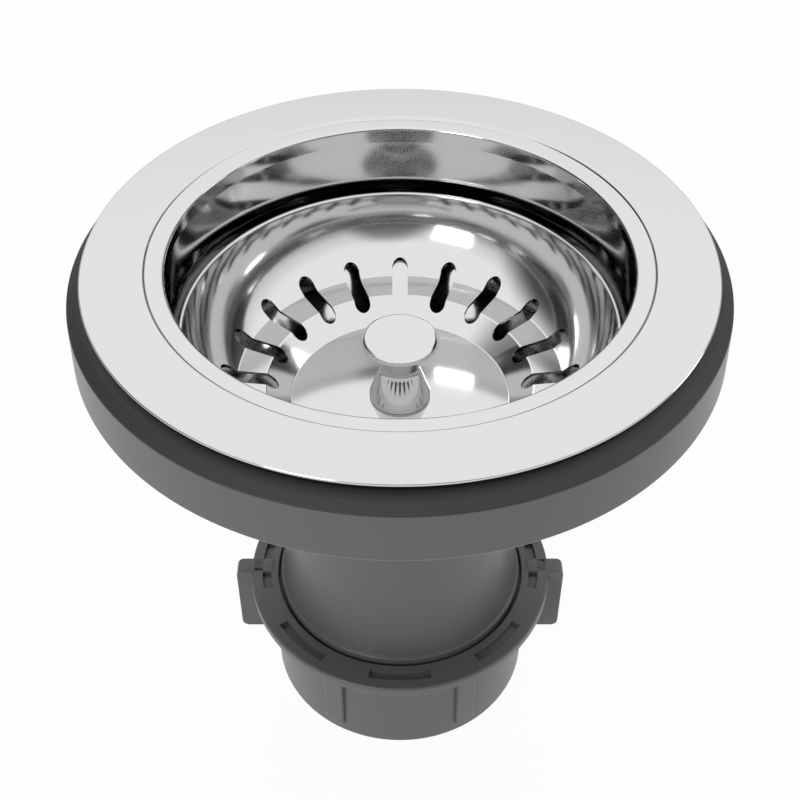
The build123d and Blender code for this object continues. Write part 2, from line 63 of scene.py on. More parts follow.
# The most of a side that its two roundings take, and the distance at which points are merged
SIDE_SHARE = 0.98
WELD = 0.002 * MM

# Angle up to which edges look smooth, and the weight of large faces in the normals
SMOOTH_ANGLE = math.radians(32)
NORMAL_WEIGHT = 60

# Detail of the slow and the fine noise in the materials, and the depth of their bumps
SLOW_DETAIL = 4
FINE_DETAIL = 2
BUMP_DEPTH = 0.02 * MM

# Roundings that several pieces share, in millimetres
CRISP = 0.2
FINE = 0.3
SMALL = 0.4
EDGE = 0.5
SOFT = 0.8


def top(node):
    """Highest point of a CAD node in millimetres."""
    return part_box(node)[1].z / MM


def foot(node):
    """Lowest point of a CAD node in millimetres."""
    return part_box(node)[0].z / MM


def reach(node):
    """Half of a CAD node's width in millimetres."""
    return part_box(node)[1].x / MM


class StrainerSizes(bpy.types.PropertyGroup):
    """Sizes that a user would change"""

    flange_radius: bpy.props.FloatProperty(
        name="Flange radius", description="Outer radius of the steel flange",
        default=reach("sink_flange") * MM, unit="LENGTH", precision=4)
    mouth_radius: bpy.props.FloatProperty(
        name="Mouth radius", description="Radius of the neck's mouth",
        default=42.1 * MM, unit="LENGTH", precision=4)
    steel_thickness: bpy.props.FloatProperty(
        name="Steel thickness", description="Thickness of the flange's sheet",
        default=0.8 * MM, unit="LENGTH", precision=4)
    basket_thickness: bpy.props.FloatProperty(
        name="Basket thickness", description="Thickness of the basket's sheet",
        default=0.6 * MM, unit="LENGTH", precision=4)
    slot_count: bpy.props.IntProperty(
        name="Basket slots", description="Number of slots in the basket", default=20, min=4)
    slot_width: bpy.props.FloatProperty(
        name="Slot width", description="Width of a basket slot",
        default=3.3 * MM, unit="LENGTH", precision=4)
    wing_thickness: bpy.props.FloatProperty(
        name="Wing thickness", description="Thickness of the coupling nut's wings",
        default=4.0 * MM, unit="LENGTH", precision=4)
    thread_pitch: bpy.props.FloatProperty(
        name="Thread pitch", description="Pitch of the tail's thread",
        default=2.309 * MM, unit="LENGTH", precision=4)


class StrainerColours(bpy.types.PropertyGroup):
    """Colours that a user would change"""

    steel: bpy.props.FloatVectorProperty(
        name="Polished steel", description="Colour of the flange, basket and knob",
        default=(0.61, 0.61, 0.615), subtype="COLOR", size=3, min=0, max=1)
    plain_steel: bpy.props.FloatVectorProperty(
        name="Plain steel", description="Colour of the stem, screw and washers",
        default=(0.62, 0.62, 0.63), subtype="COLOR", size=3, min=0, max=1)
    brass: bpy.props.FloatVectorProperty(
        name="Brass", description="Colour of the threaded insert",
        default=(0.72, 0.52, 0.24), subtype="COLOR", size=3, min=0, max=1)
    plastic: bpy.props.FloatVectorProperty(
        name="Grey plastic", description="Colour of the body and the coupling nut",
        default=(0.105, 0.105, 0.107), subtype="COLOR", size=3, min=0, max=1)
    rubber: bpy.props.FloatVectorProperty(
        name="Black rubber", description="Colour of the gasket and the seals",
        default=(0.022, 0.022, 0.023), subtype="COLOR", size=3, min=0, max=1)
    washer: bpy.props.FloatVectorProperty(
        name="Washer plastic", description="Colour of the slip washer",
        default=(0.72, 0.72, 0.70), subtype="COLOR", size=3, min=0, max=1)
    floor: bpy.props.FloatVectorProperty(
        name="Floor", description="Colour of the floor", default=(1.0, 1.0, 1.0),
        subtype="COLOR", size=3, min=0, max=1)


# Heights that the pieces share, taken from the solids
FLANGE_Z = top("sink_flange")
BOWL_FOOT_Z = foot("bowl_floor")
RIM_TOP_Z = top("waste_rim")
TAIL_FOOT_Z = foot("waste_tail")
PLATE_Z = foot("knob")
BASKET_RIM_Z = top("basket")
NUT_TOP_Z = top("coupling_nut")

# Solids that one real piece is divided into
FLANGE_NODES = ("sink_flange", "bowl_wall", "bowl_cone", "bowl_floor")
BODY_NODES = ("waste_rim", "waste_cup", "waste_cone", "waste_tail", "waste_hub")
BASKET_NODES = ("basket", "basket_band", "basket_floor")

# The bowl's inner face, as radius and height, and what lies between it and the body's cup
BOWL_LINE = ((43.95, 99.55), (43.95, 90.2), (24.5, 66.8), (0.0, 66.8))
BOWL_TO_CUP = 1.2


def turn_at(before, corner, after):
    """Angle by which a path turns at a corner, positive to the left."""
    heading = math.atan2(corner[1] - before[1], corner[0] - before[0])
    next_heading = math.atan2(after[1] - corner[1], after[0] - corner[0])
    return (next_heading - heading + math.pi) % (2 * math.pi) - math.pi


def rounded(corners):
    """Points of a closed outline whose (radius, height, rounding) corners are rounded."""
    count = len(corners)
    spots = [Vector((r, z)) for r, z, _ in corners]
    turns = [turn_at(spots[i - 1], spots[i], spots[(i + 1) % count]) for i in range(count)]
    reaches = [corners[i][2] * math.tan(abs(turns[i]) / 2) for i in range(count)]
    share = [1.0] * count
    for i in range(count):
        j = (i + 1) % count
        side = (spots[j] - spots[i]).length
        if reaches[i] + reaches[j] > SIDE_SHARE * side:
            limit = SIDE_SHARE * side / (reaches[i] + reaches[j])
            share[i] = min(share[i], limit)
            share[j] = min(share[j], limit)
    outline = []
    for i in range(count):
        back = reaches[i] * share[i]
        bend = corners[i][2] * share[i]
        if back < WELD / MM:
            outline.append(spots[i])
            continue
        start = spots[i] + (spots[i - 1] - spots[i]).normalized() * back
        side = math.copysign(1.0, turns[i])
        heading = (spots[i] - spots[i - 1]).normalized()
        centre = start + Vector((-heading.y, heading.x)) * bend * side
        steps = math.ceil(max(abs(turns[i]) / ARC_ANGLE, abs(turns[i]) * bend / ARC_LENGTH, 2))
        for step in range(steps + 1):
            angle = turns[i] * step / steps
            spoke = start - centre
            outline.append(centre + Vector((
                spoke.x * math.cos(angle) - spoke.y * math.sin(angle),
                spoke.x * math.sin(angle) + spoke.y * math.cos(angle))))
    return outline


def offset_path(points, distance):
    """Shift an open path of (radius, height) points to the left of its direction of travel."""
    runs = []
    for (r0, z0), (r1, z1) in zip(points, points[1:]):
        length = math.hypot(r1 - r0, z1 - z0)
        start_r = r0 - (z1 - z0) / length * distance
        start_z = z0 + (r1 - r0) / length * distance
        runs.append((start_r, start_z, r1 - r0, z1 - z0))
    shifted = [runs[0][:2]]
    for (r0, z0, dr0, dz0), (r1, z1, dr1, dz1) in zip(runs, runs[1:]):
        along = ((r1 - r0) * dz1 - (z1 - z0) * dr1) / (dr0 * dz1 - dz0 * dr1)
        shifted.append((r0 + dr0 * along, z0 + dz0 * along))
    r0, z0, dr0, dz0 = runs[-1]
    shifted.append((r0 + dr0, z0 + dz0))
    return shifted


def sheet(corners, thickness):
    """Closed outline of a pressed sheet whose upper face is given inwards and down."""
    upper = [(r, z) for r, z, _ in corners]
    lower = offset_path(upper, thickness)
    under = [(*lower[0], 0.0)]
    for i in range(1, len(upper) - 1):
        bend = corners[i][2]
        left = turn_at(upper[i - 1], upper[i], upper[i + 1]) > 0
        under.append((*lower[i], max(bend - thickness, CRISP / 2) if left else bend + thickness))
    under.append((*lower[-1], 0.0))
    return list(corners) + under[::-1]


def start_piece(name):
    """Give the object that an operator has just added its name, and take it into edit mode."""
    piece = bpy.context.object
    piece.name = name
    piece.data.name = name
    bpy.ops.object.transform_apply(location=True, rotation=True, scale=True)
    bpy.ops.object.mode_set(mode="EDIT")
    bpy.ops.mesh.select_all(action="SELECT")
    return piece


def drawn(name, spots):
    """Draw a chain of edges through (radius, height) points, and stay in edit mode."""
    bpy.ops.object.select_all(action="DESELECT")
    bpy.ops.mesh.primitive_plane_add(size=MM, location=(spots[0][0] * MM, 0, spots[0][1] * MM))
    piece = start_piece(name)
    bpy.ops.mesh.merge(type="CENTER")
    for here, there in zip(spots, spots[1:]):
        move = ((there[0] - here[0]) * MM, 0, (there[1] - here[1]) * MM)
        bpy.ops.mesh.extrude_region_move(TRANSFORM_OT_translate={"value": move})
    bpy.ops.mesh.select_all(action="SELECT")
    return piece


def turned(name, corners, steps=SPIN_STEPS):
    """Draw a closed section beside the axis and spin it into a solid."""
    outline = rounded(corners)
    piece = drawn(name, outline + outline[:1])
    bpy.ops.mesh.remove_doubles(threshold=WELD)
    bpy.ops.mesh.spin(steps=steps, angle=2 * math.pi, center=(0, 0, 0), axis=(0, 0, 1))
    bpy.ops.mesh.select_all(action="SELECT")
    bpy.ops.mesh.remove_doubles(threshold=WELD)
    bpy.ops.mesh.select_all(action="SELECT")
    bpy.ops.mesh.delete_loose()
    bpy.ops.mesh.select_all(action="SELECT")
    bpy.ops.mesh.normals_make_consistent(inside=False)
    bpy.ops.object.mode_set(mode="OBJECT")
    return piece


def block(name, low, high, bevel=0.0, turn=0.0):
    """A box between two corners in millimetres, with bevelled edges, turned about the axis."""
    bpy.ops.object.select_all(action="DESELECT")
    middle = [(a + b) / 2 * MM for a, b in zip(low, high)]
    size = [(b - a) * MM for a, b in zip(low, high)]
    bpy.ops.mesh.primitive_cube_add(size=1, location=middle)
    bpy.context.object.scale = size
    piece = start_piece(name)
    if bevel:
        bpy.ops.mesh.bevel(offset=bevel * MM, segments=3, affect="EDGES")
    bpy.ops.object.mode_set(mode="OBJECT")
    place_round(piece, turn)
    return piece


def pick(*pieces):
    """Select some pieces and nothing else, and make the first one active."""
    bpy.ops.object.select_all(action="DESELECT")
    for piece in pieces:
        piece.select_set(True)
    bpy.context.view_layer.objects.active = pieces[0]


def place_round(piece, turn):
    """Turn a piece about the part's axis and apply the turn to its mesh."""
    pick(piece)
    piece.rotation_euler = (0, 0, turn)
    bpy.ops.object.transform_apply(location=True, rotation=True, scale=True)


def even_turns(count):
    """Turns from the first of some evenly spaced pieces to each of the others."""
    return [2 * math.pi * k / count for k in range(1, count)]


def copies_round(piece, turns):
    """Copies of a piece, each with its own mesh, turned about the axis; the first piece is kept."""
    made = [piece]
    for turn in turns:
        pick(piece)
        bpy.ops.object.duplicate(linked=False)
        place_round(bpy.context.object, turn)
        made.append(bpy.context.object)
    return made


def joined(pieces):
    """Join pieces into the first one."""
    pick(*pieces)
    bpy.ops.object.join()
    return bpy.context.object


def combine(piece, tool, operation):
    """Cut a tool out of a piece, or add it, and delete the tool."""
    pick(piece)
    change = piece.modifiers.new(operation.title(), "BOOLEAN")
    change.operation = operation
    change.solver = "EXACT"
    change.use_self = True
    change.object = tool
    bpy.ops.object.modifier_apply(modifier=change.name)
    bpy.data.objects.remove(tool)
    if not piece.data.polygons:
        raise RuntimeError(f"{piece.name} lost its faces in a {operation.lower()}")
    return piece


def finished(piece, material, body, nodes):
    """Smooth a piece, give it its material, and tie it to the body and nodes it stands for."""
    pick(piece)
    bpy.ops.object.shade_smooth_by_angle(angle=SMOOTH_ANGLE)
    weighted = piece.modifiers.new("Weighted", "WEIGHTED_NORMAL")
    weighted.keep_sharp = True
    weighted.weight = NORMAL_WEIGHT
    bpy.ops.object.modifier_apply(modifier=weighted.name)
    piece.data.materials.clear()
    piece.data.materials.append(material)
    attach(piece, body)
    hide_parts(*nodes)
    return piece


def new_material(name):
    """An empty node material with a Principled shader; returns the material, its nodes and links."""
    material = bpy.data.materials.get(name) or bpy.data.materials.new(name)
    material.use_nodes = True
    nodes, links = material.node_tree.nodes, material.node_tree.links
    nodes.clear()
    shader = nodes.new("ShaderNodeBsdfPrincipled")
    output = nodes.new("ShaderNodeOutputMaterial")
    links.new(shader.outputs["BSDF"], output.inputs["Surface"])
    return material, nodes, links, shader


def add_grain(nodes, links, shader, colour, spread, roughness, rough_spread, scale, bump, bump_scale):
    """Vary colour and roughness with a slow noise and add a fine bump, in Object coordinates."""
    place = nodes.new("ShaderNodeTexCoord")
    slow = nodes.new("ShaderNodeTexNoise")
    slow.inputs["Scale"].default_value = scale
    slow.inputs["Detail"].default_value = SLOW_DETAIL
    links.new(place.outputs["Object"], slow.inputs["Vector"])
    tint = nodes.new("ShaderNodeMix")
    tint.data_type = "RGBA"
    tint.inputs["A"].default_value = (*[c * (1 - spread) for c in colour], 1)
    tint.inputs["B"].default_value = (*[min(c * (1 + spread), 1) for c in colour], 1)
    links.new(slow.outputs["Fac"], tint.inputs["Factor"])
    links.new(tint.outputs["Result"], shader.inputs["Base Color"])
    rough = nodes.new("ShaderNodeMapRange")
    rough.inputs["To Min"].default_value = roughness - rough_spread
    rough.inputs["To Max"].default_value = roughness + rough_spread
    links.new(slow.outputs["Fac"], rough.inputs["Value"])
    links.new(rough.outputs["Result"], shader.inputs["Roughness"])
    fine = nodes.new("ShaderNodeTexNoise")
    fine.inputs["Scale"].default_value = bump_scale
    fine.inputs["Detail"].default_value = FINE_DETAIL
    links.new(place.outputs["Object"], fine.inputs["Vector"])
    relief = nodes.new("ShaderNodeBump")
    relief.inputs["Strength"].default_value = bump
    relief.inputs["Distance"].default_value = BUMP_DEPTH
    links.new(fine.outputs["Fac"], relief.inputs["Height"])
    links.new(relief.outputs["Normal"], shader.inputs["Normal"])


def grained(name, colour, metallic, **grain):
    """A material with a grain, in one of the scene's named colours."""
    material, nodes, links, shader = new_material(name)
    shader.inputs["Metallic"].default_value = metallic
    add_grain(nodes, links, shader, getattr(bpy.context.scene.strainer_colours, colour), **grain)
    return material


def polished_steel():
    """Mirror polished stainless steel with a faint haze."""
    return grained(
        "Polished steel", "steel", 1, spread=0.01, roughness=0.09, rough_spread=0.02,
        scale=40, bump=0.02, bump_scale=900)


def plain_steel():
    """Turned or pressed steel that isn't polished."""
    return grained(
        "Plain steel", "plain_steel", 1, spread=0.04, roughness=0.28, rough_spread=0.06,
        scale=120, bump=0.15, bump_scale=2500)


def brass():
    """Turned brass."""
    return grained(
        "Brass", "brass", 1, spread=0.05, roughness=0.3, rough_spread=0.05,
        scale=120, bump=0.15, bump_scale=2500)


def grey_plastic():
    """Moulded plastic with a soft sheen and a very fine skin."""
    return grained(
        "Grey plastic", "plastic", 0, spread=0.03, roughness=0.36, rough_spread=0.03,
        scale=60, bump=0.12, bump_scale=3000)


def black_rubber():
    """Matt rubber with a fine grain."""
    return grained(
        "Black rubber", "rubber", 0, spread=0.08, roughness=0.52, rough_spread=0.05,
        scale=90, bump=0.35, bump_scale=2600)


def washer_plastic():
    """Pale moulded plastic."""
    return grained(
        "Washer plastic", "washer", 0, spread=0.02, roughness=0.42, rough_spread=0.04,
        scale=60, bump=0.12, bump_scale=3000)


class STRAINER_OT_flange(bpy.types.Operator):
    """Model the steel flange, its neck and its bowl"""
    bl_idname = "strainer.flange"
    bl_label = "Flange"

    step_radius = 45.7
    step_depth = 0.5
    step_run = 0.3
    kink = (42.65, 4.1)
    neck_foot = (43.6, 15.4)
    bowl_radius = 43.95
    bead_height = 0.35
    wall_height = 9.35
    floor_radius = 24.5
    screw_hole = 5.2
    drain_ring = 14.2
    drain_radius = 3.7
    drain_count = 6
    drill_length = 4  # in thicknesses of the sheet
    mouth_bend = 0.6
    wall_bend = 8.0
    floor_bend = 2.5

    def execute(self, context):
        sizes = context.scene.strainer_sizes
        thickness = sizes.steel_thickness / MM
        floor_z = BOWL_FOOT_Z + thickness
        mouth_z = FLANGE_Z - self.step_depth
        bowl_top_z = FLANGE_Z - self.neck_foot[1] - self.bead_height
        face = [
            (sizes.flange_radius / MM, FLANGE_Z, 0.0),
            (self.step_radius + self.step_run / 2, FLANGE_Z, SMALL),
            (self.step_radius - self.step_run / 2, mouth_z, SMALL),
            (sizes.mouth_radius / MM, mouth_z, self.mouth_bend),
            (self.kink[0], FLANGE_Z - self.kink[1], EDGE),
            (self.neck_foot[0], FLANGE_Z - self.neck_foot[1], FINE),
            (self.bowl_radius, bowl_top_z, FINE),
            (self.bowl_radius, bowl_top_z - self.wall_height, self.wall_bend),
            (self.floor_radius, floor_z, self.floor_bend),
            (self.screw_hole, floor_z, 0.0),
        ]
        outline = sheet(face, thickness)
        outline[0] = (*outline[0][:2], FINE)
        outline[-1] = (*outline[-1][:2], FINE)
        piece = turned("Flange_and_bowl", outline)
        bpy.ops.object.select_all(action="DESELECT")
        bpy.ops.mesh.primitive_cylinder_add(
            vertices=48, radius=self.drain_radius * MM, depth=self.drill_length * thickness * MM,
            location=(self.drain_ring * MM, 0, floor_z * MM))
        drill = start_piece("Drain_drill")
        bpy.ops.object.mode_set(mode="OBJECT")
        drills = copies_round(drill, even_turns(self.drain_count))
        combine(piece, joined(drills), "DIFFERENCE")
        finished(piece, polished_steel(), "waste", FLANGE_NODES)
        return {"FINISHED"}


class STRAINER_OT_seals(bpy.types.Operator):
    """Model the ring above the sink and the thick gasket under it"""
    bl_idname = "strainer.seals"
    bl_label = "Flange seal and gasket"

    ring_bore = 47.0
    gasket_bore = 45.3
    gasket_top_radius = 56.1
    gasket_edge = 59.75
    ridge = (57.9, 1.4)
    edge_height = 0.25
    edge_inset = 0.1

    def execute(self, context):
        ring_foot, ring_top = foot("flange_seal"), top("flange_seal")
        ring = turned("Flange_seal", [
            (self.ring_bore, ring_foot, 0.0),
            (reach("flange_seal"), ring_foot, FINE),
            (reach("flange_seal"), ring_top, FINE),
            (self.ring_bore, ring_top, 0.0),
        ])
        finished(ring, black_rubber(), "waste", ["flange_seal"])
        low, high, edge = foot("sink_gasket"), top("sink_gasket"), self.gasket_edge
        gasket = turned("Sink_gasket", [
            (self.gasket_bore, low, FINE),
            (edge, low, CRISP / 2),
            (edge - self.edge_inset, low + self.edge_height, CRISP),
            (self.ridge[0], low + self.ridge[1], SOFT),
            (self.gasket_top_radius, high, EDGE),
            (self.gasket_bore, high, FINE),
        ])
        finished(gasket, black_rubber(), "waste", ["sink_gasket"])
        return {"FINISHED"}


class STRAINER_OT_body(bpy.types.Operator):
    """Model the plastic body with its rim, cup, tail, thread and hub"""
    bl_idname = "strainer.body"
    bl_label = "Body"

    wall = 2.5
    rim_top_radius = 59.75
    rim_foot_radius = 60.17
    rim_height = 10.0
    rim_foot_bend = 0.7
    web_bend = 1.0
    root_bend = 1.5
    cup_bend = 9.0
    bowl_bend = 8.8
    cone_bend = 5.0
    rib_count = 12
    rib_thickness = 2.0
    rib_inset = 1.6
    rib_start = math.radians(15)
    tail_radius = 24.9
    flare = (26.1, 7.5)
    flare_bend = 68.0
    collar = (26.6, 28.8, 25.7)
    thread_radius = 23.9
    thread_depth = 0.6
    thread_sink = 0.2
    crest_gap = 0.02
    crest_shares = (0.38, 0.56, 0.94)  # of the pitch: the crest's start and end, and the ridge's end
    thread_steps = 72
    mouth = (23.12, 3.86)
    socket = (20.5, 25.0)
    channel_radius = 19.2
    shoulder_z = 64.5
    hub_radius = 9.0
    hub_top_z = 64.8
    hub_foot_z = 51.8
    hub_bore = 7.1
    insert_foot_z = 54.8
    screw_bore = 5.2
    arm_count = 3
    arm_thickness = 3.0
    arm_drop = 2.5
    arm_start = math.pi / 2
    arm_sink = 1.0
    rib_sink = 0.5

    def execute(self, context):
        root = self.thread_radius - self.thread_depth
        piece = turned("Body", self.section(root))
        hub = turned("Hub", [
            (self.screw_bore, self.hub_foot_z, FINE),
            (self.hub_radius, self.hub_foot_z, SMALL),
            (self.hub_radius, self.hub_top_z, SMALL),
            (self.hub_bore, self.hub_top_z, CRISP),
            (self.hub_bore, self.insert_foot_z, 0.0),
            (self.screw_bore, self.insert_foot_z, 0.0),
        ], steps=HUB_SPIN_STEPS)
        thread = self.thread(context.scene.strainer_sizes.thread_pitch / MM, root)
        piece = joined([piece, hub, thread] + self.arms() + self.ribs())
        finished(piece, grey_plastic(), "waste", BODY_NODES)
        return {"FINISHED"}

    def section(self, root):
        """Half section of the body, from the rim's top down the outside and up the inside."""
        inner = offset_path(BOWL_LINE, BOWL_TO_CUP)
        outer = offset_path(BOWL_LINE, BOWL_TO_CUP + self.wall)
        web_z, rim_foot_z = RIM_TOP_Z - self.wall, RIM_TOP_Z - self.rim_height
        draft = (self.rim_foot_radius - self.rim_top_radius) * self.wall / self.rim_height
        slope = (outer[2][1] - outer[1][1]) / (outer[2][0] - outer[1][0])
        cone_foot_z = outer[1][1] + slope * (self.tail_radius - outer[1][0])
        shoulder_radius = inner[1][0] + (self.shoulder_z - inner[1][1]) / slope
        return [
            (inner[0][0], RIM_TOP_Z, SMALL),
            (self.rim_top_radius, RIM_TOP_Z, CRISP),
            (self.rim_foot_radius, rim_foot_z, self.rim_foot_bend),
            (self.rim_foot_radius - self.wall, rim_foot_z, EDGE),
            (self.rim_top_radius + draft - self.wall, web_z, self.web_bend),
            (outer[0][0], web_z, self.root_bend),
            (outer[0][0], outer[1][1], self.cup_bend),
            (self.tail_radius, cone_foot_z, self.cone_bend),
            (self.tail_radius, self.collar[1] + self.flare[1], self.flare_bend),
            (self.flare[0], self.collar[1], CRISP),
            (self.collar[0], self.collar[1], SMALL),
            (self.collar[0], self.collar[2], FINE),
            (root, self.collar[2], CRISP),
            (root, TAIL_FOOT_Z, 0.0),
            (self.mouth[0], TAIL_FOOT_Z, 0.0),
            (self.socket[0], TAIL_FOOT_Z + self.mouth[1], EDGE),
            (self.socket[0], TAIL_FOOT_Z + self.socket[1], 0.0),
            (self.channel_radius, TAIL_FOOT_Z + self.socket[1], FINE),
            (self.channel_radius, self.shoulder_z, SMALL),
            (shoulder_radius, self.shoulder_z, 0.0),
            (inner[1][0], inner[1][1], self.bowl_bend),
        ]

    def arms(self):
        """Arms that carry the hub."""
        half = self.arm_thickness / 2
        arm = block(
            "Arm", (self.hub_radius - self.arm_sink, -half, self.hub_foot_z),
            (self.channel_radius + self.arm_sink, half, self.hub_top_z - self.arm_drop), FINE, self.arm_start)
        return copies_round(arm, even_turns(self.arm_count))

    def ribs(self):
        """Ribs under the rim, between its skirt and the cup."""
        cup_radius = BOWL_LINE[0][0] + BOWL_TO_CUP + self.wall
        half = self.rib_thickness / 2
        rib_foot_z = RIM_TOP_Z - self.rim_height + self.rib_inset
        rib = block(
            "Rim_rib", (cup_radius - self.rib_sink, -half, rib_foot_z),
            (self.rim_foot_radius - self.wall / 2, half, RIM_TOP_Z - self.wall / 2), CRISP, self.rib_start)
        return copies_round(rib, even_turns(self.rib_count))

    def thread(self, pitch, root):
        """One ridge of the tail's thread, screwed round the tail."""
        turns = math.floor((self.collar[2] - TAIL_FOOT_Z) / pitch) - 2
        start_z = TAIL_FOOT_Z + pitch
        crest = self.thread_radius - self.crest_gap
        crest_start, crest_end, ridge_end = self.crest_shares
        corners = [
            (root - self.thread_sink, start_z),
            (crest, start_z + crest_start * pitch),
            (crest, start_z + crest_end * pitch),
            (root - self.thread_sink, start_z + ridge_end * pitch),
        ]
        ridge = drawn("Thread", corners)
        bpy.ops.mesh.edge_face_add()
        bpy.ops.object.mode_set(mode="OBJECT")
        screw = ridge.modifiers.new("Screw", "SCREW")
        screw.axis = "Z"
        screw.screw_offset = pitch * MM
        screw.iterations = turns
        screw.steps = self.thread_steps
        screw.render_steps = self.thread_steps
        screw.use_merge_vertices = True
        bpy.ops.object.modifier_apply(modifier=screw.name)
        bpy.ops.object.mode_set(mode="EDIT")
        bpy.ops.mesh.select_all(action="SELECT")
        bpy.ops.mesh.normals_make_consistent(inside=False)
        bpy.ops.object.mode_set(mode="OBJECT")
        return ridge


class STRAINER_OT_basket(bpy.types.Operator):
    """Model the pressed basket and punch its ring of slots"""
    bl_idname = "strainer.basket"
    bl_label = "Basket"

    bead = 0.45
    crease = (31.8, 4.7)
    waist = (7.33, 5.52)
    waist_bend = 22.5
    ledge = (26.1, 4.0)
    plate_radius = 21.5
    stem_hole = 2.7
    slot_ends = (23.8, 34.8)
    first_slot = math.pi / 2
    crease_bend = 0.6
    punch_below = 2
    punch_length = 14
    spin_steps = 400

    def execute(self, context):
        sizes = context.scene.strainer_sizes
        thickness = sizes.basket_thickness / MM
        rim_r = reach("basket") - self.bead
        rim_z = BASKET_RIM_Z - self.bead
        crease_z = PLATE_Z + self.crease[1]
        face = [
            (rim_r - thickness / 2, rim_z, 0.0),
            (self.crease[0] + self.waist[0], crease_z + self.waist[1], self.waist_bend),
            (self.crease[0], crease_z, self.crease_bend),
            (self.ledge[0], PLATE_Z + self.ledge[1], SOFT),
            (self.plate_radius, PLATE_Z, SMALL),
            (self.stem_hole, PLATE_Z, 0.0),
        ]
        outline = sheet(face, thickness)
        piece = turned("Basket", outline, self.spin_steps)
        width = sizes.slot_width / MM
        near, far = self.slot_ends[0] + width / 2, self.slot_ends[1] - width / 2
        bpy.ops.object.select_all(action="DESELECT")
        bpy.ops.mesh.primitive_circle_add(
            vertices=36, radius=width / 2 * MM, fill_type="NGON",
            location=(near * MM, 0, (PLATE_Z - self.punch_below) * MM))
        punch = start_piece("Slot_punch")
        bpy.ops.mesh.select_mode(type="VERT")
        bpy.ops.mesh.select_all(action="DESELECT")
        bpy.ops.object.mode_set(mode="OBJECT")
        for corner in punch.data.vertices:
            corner.select = corner.co.x > near * MM - WELD
        bpy.ops.object.mode_set(mode="EDIT")
        bpy.ops.transform.translate(value=((far - near) * MM, 0, 0))
        bpy.ops.mesh.select_all(action="SELECT")
        bpy.ops.mesh.extrude_region_move(TRANSFORM_OT_translate={"value": (0, 0, self.punch_length * MM)})
        bpy.ops.mesh.select_all(action="SELECT")
        bpy.ops.mesh.normals_make_consistent(inside=False)
        bpy.ops.object.mode_set(mode="OBJECT")
        row = joined(copies_round(punch, even_turns(sizes.slot_count)))
        place_round(row, self.first_slot)
        combine(piece, row, "DIFFERENCE")
        bpy.ops.object.select_all(action="DESELECT")
        bpy.ops.mesh.primitive_torus_add(
            major_segments=240, minor_segments=20, major_radius=rim_r * MM,
            minor_radius=self.bead * MM, location=(0, 0, rim_z * MM))
        bead = start_piece("Basket_bead")
        bpy.ops.object.mode_set(mode="OBJECT")
        piece = joined([piece, bead])
        finished(piece, polished_steel(), "strainer", BASKET_NODES)
        return {"FINISHED"}


class STRAINER_OT_knob(bpy.types.Operator):
    """Model the turned knob"""
    bl_idname = "strainer.knob"
    bl_label = "Knob"

    disc = 1.7
    dome = 0.25
    edge_inset = 0.6
    edge_height = 0.5
    under_height = 0.7
    top_neck = 3.5
    neck = (3.75, 7.4)
    foot_radius = 6.1
    foot_height = 0.5
    bore = (2.6, 10.7)
    neck_bend = 6.0
    foot_bend = 0.9

    def execute(self, context):
        knob_top = top("knob")
        radius = reach("knob")
        piece = turned("Knob", [
            (0.0, knob_top, 0.0),
            (radius - self.edge_inset, knob_top - self.dome, EDGE),
            (radius, knob_top - self.dome - self.edge_height, SMALL),
            (radius, knob_top - self.disc, SMALL),
            (self.top_neck, knob_top - self.disc - self.under_height, SOFT),
            (self.neck[0], PLATE_Z + self.neck[1], self.neck_bend),
            (self.foot_radius, PLATE_Z + self.foot_height, self.foot_bend),
            (self.foot_radius - FINE, PLATE_Z, FINE),
            (self.bore[0], PLATE_Z, 0.0),
            (self.bore[0], PLATE_Z + self.bore[1], 0.0),
            (0.0, PLATE_Z + self.bore[1], 0.0),
        ], steps=SMALL_SPIN_STEPS)
        finished(piece, polished_steel(), "strainer", ["knob"])
        return {"FINISHED"}


class STRAINER_OT_plug(bpy.types.Operator):
    """Model the rubber plug under the basket and its stem"""
    bl_idname = "strainer.plug"
    bl_label = "Plug and stem"

    stem_hole = 2.7
    shoulder = 12.5
    lip_width = 2.4
    lip_height = 1.6
    room_radius = 9.5
    shoulder_bend = 1.5
    room_bend = 1.0
    groove = (2.0, 4.5, 1.4)

    def execute(self, context):
        low, high = foot("plug_seal"), top("plug_seal")
        lip = reach("plug_seal")
        hub_z = top("seal_washer")
        plug = turned("Plug", [
            (self.stem_hole, high, 0.0),
            (self.shoulder, high, self.shoulder_bend),
            (lip, low + self.lip_height, SOFT),
            (lip, low, SMALL),
            (lip - self.lip_width, low, SMALL),
            (self.room_radius, hub_z, self.room_bend),
            (self.stem_hole, hub_z, 0.0),
        ], steps=SMALL_SPIN_STEPS)
        finished(plug, black_rubber(), "strainer", ["plug_seal"])
        stem_foot, stem_top, radius = foot("basket_stem"), top("basket_stem"), reach("basket_stem")
        groove_z = stem_foot + self.groove[1]
        stem = turned("Stem", [
            (0.0, stem_foot, 0.0),
            (radius, stem_foot, SOFT),
            (radius, groove_z, 0.0),
            (self.groove[0], groove_z, 0.0),
            (self.groove[0], groove_z + self.groove[2], 0.0),
            (radius, groove_z + self.groove[2], 0.0),
            (radius, stem_top, SMALL),
            (0.0, stem_top, 0.0),
        ], steps=STEM_SPIN_STEPS)
        finished(stem, plain_steel(), "strainer", ["basket_stem"])
        return {"FINISHED"}


